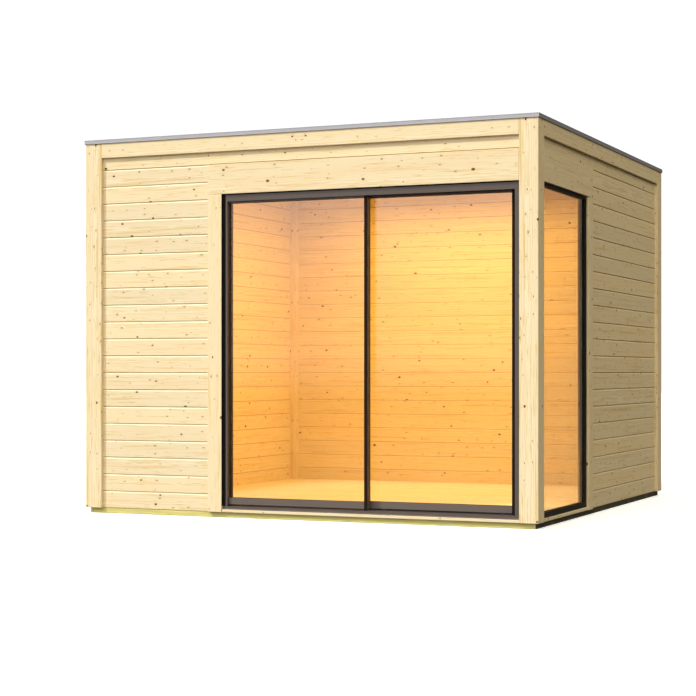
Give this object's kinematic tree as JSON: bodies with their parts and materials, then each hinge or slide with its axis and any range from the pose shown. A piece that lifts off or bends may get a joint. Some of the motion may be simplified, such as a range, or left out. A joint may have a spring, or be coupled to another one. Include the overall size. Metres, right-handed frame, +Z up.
{
  "type": "garden room",
  "caption": "Square flat-roofed timber garden room with board walls, corner posts, a glazed two-track sliding door in front and a fixed floor-length window at the right side.",
  "frame": {"origin": "centre of the footprint, at the underside of the base beams on the ground", "axes": "+Z up, -Y out of the front with the sliding door, +X out of the side with the window"},
  "size_m": [3.08, 3.08, 2.42],
  "materials": {
    "natural_spruce": "planed, untreated, knotty",
    "green_treated_timber": "sawn, pressure-treated, greenish",
    "anthracite_aluminium": "satin powder coat",
    "clear_glazing": "clear, smooth",
    "roof_trim_metal": "matt grey sheet metal",
    "roof_membrane_rubber": "matt, slightly rough"
  },
  "bodies": {
    "root": {"door_jamb": "natural_spruce", "door_lintel": "natural_spruce", "door_sill": "natural_spruce", "fascia_back": "natural_spruce", "fascia_front": "natural_spruce", "fascia_left": "natural_spruce", "fascia_right": "natural_spruce", "floor": "natural_spruce", "front_wall": "natural_spruce", "front_wall_top": "natural_spruce", "left_wall": "natural_spruce", "back_wall": "natural_spruce", "right_wall": "natural_spruce", "right_wall_top": "natural_spruce", "post_back_left": "natural_spruce", "post_back_right": "natural_spruce", "post_front_left": "natural_spruce", "post_front_right": "natural_spruce", "rafter_1": "natural_spruce", "rafter_2": "natural_spruce", "rafter_3": "natural_spruce", "roof_deck": "natural_spruce", "window_jamb": "natural_spruce", "window_lintel": "natural_spruce", "window_sill": "natural_spruce", "base_back": "green_treated_timber", "base_front": "green_treated_timber", "base_left": "green_treated_timber", "base_right": "green_treated_timber", "floor_joist_1": "green_treated_timber", "floor_joist_2": "green_treated_timber", "floor_joist_3": "green_treated_timber", "door_frame": "anthracite_aluminium", "window_frame": "anthracite_aluminium", "window_glass": "clear_glazing", "roof_trim_back": "roof_trim_metal", "roof_trim_front": "roof_trim_metal", "roof_trim_left": "roof_trim_metal", "roof_trim_right": "roof_trim_metal", "roof_membrane": "roof_membrane_rubber"},
    "left_leaf": {"left_leaf_frame": "anthracite_aluminium", "left_leaf_fin": "anthracite_aluminium", "left_leaf_glass": "clear_glazing"},
    "right_leaf": {"right_leaf_frame": "anthracite_aluminium", "right_leaf_fin": "anthracite_aluminium", "right_leaf_glass": "clear_glazing"}
  },
  "joints": [
    {"name": "left_leaf_slide", "type": "slide", "parent": "root", "child": "left_leaf", "axis": [1, 0, 0], "range_m": [0, 0.9]},
    {"name": "right_leaf_slide", "type": "slide", "parent": "root", "child": "right_leaf", "axis": [1, 0, 0], "range_m": [-0.9, 0]}
  ]
}
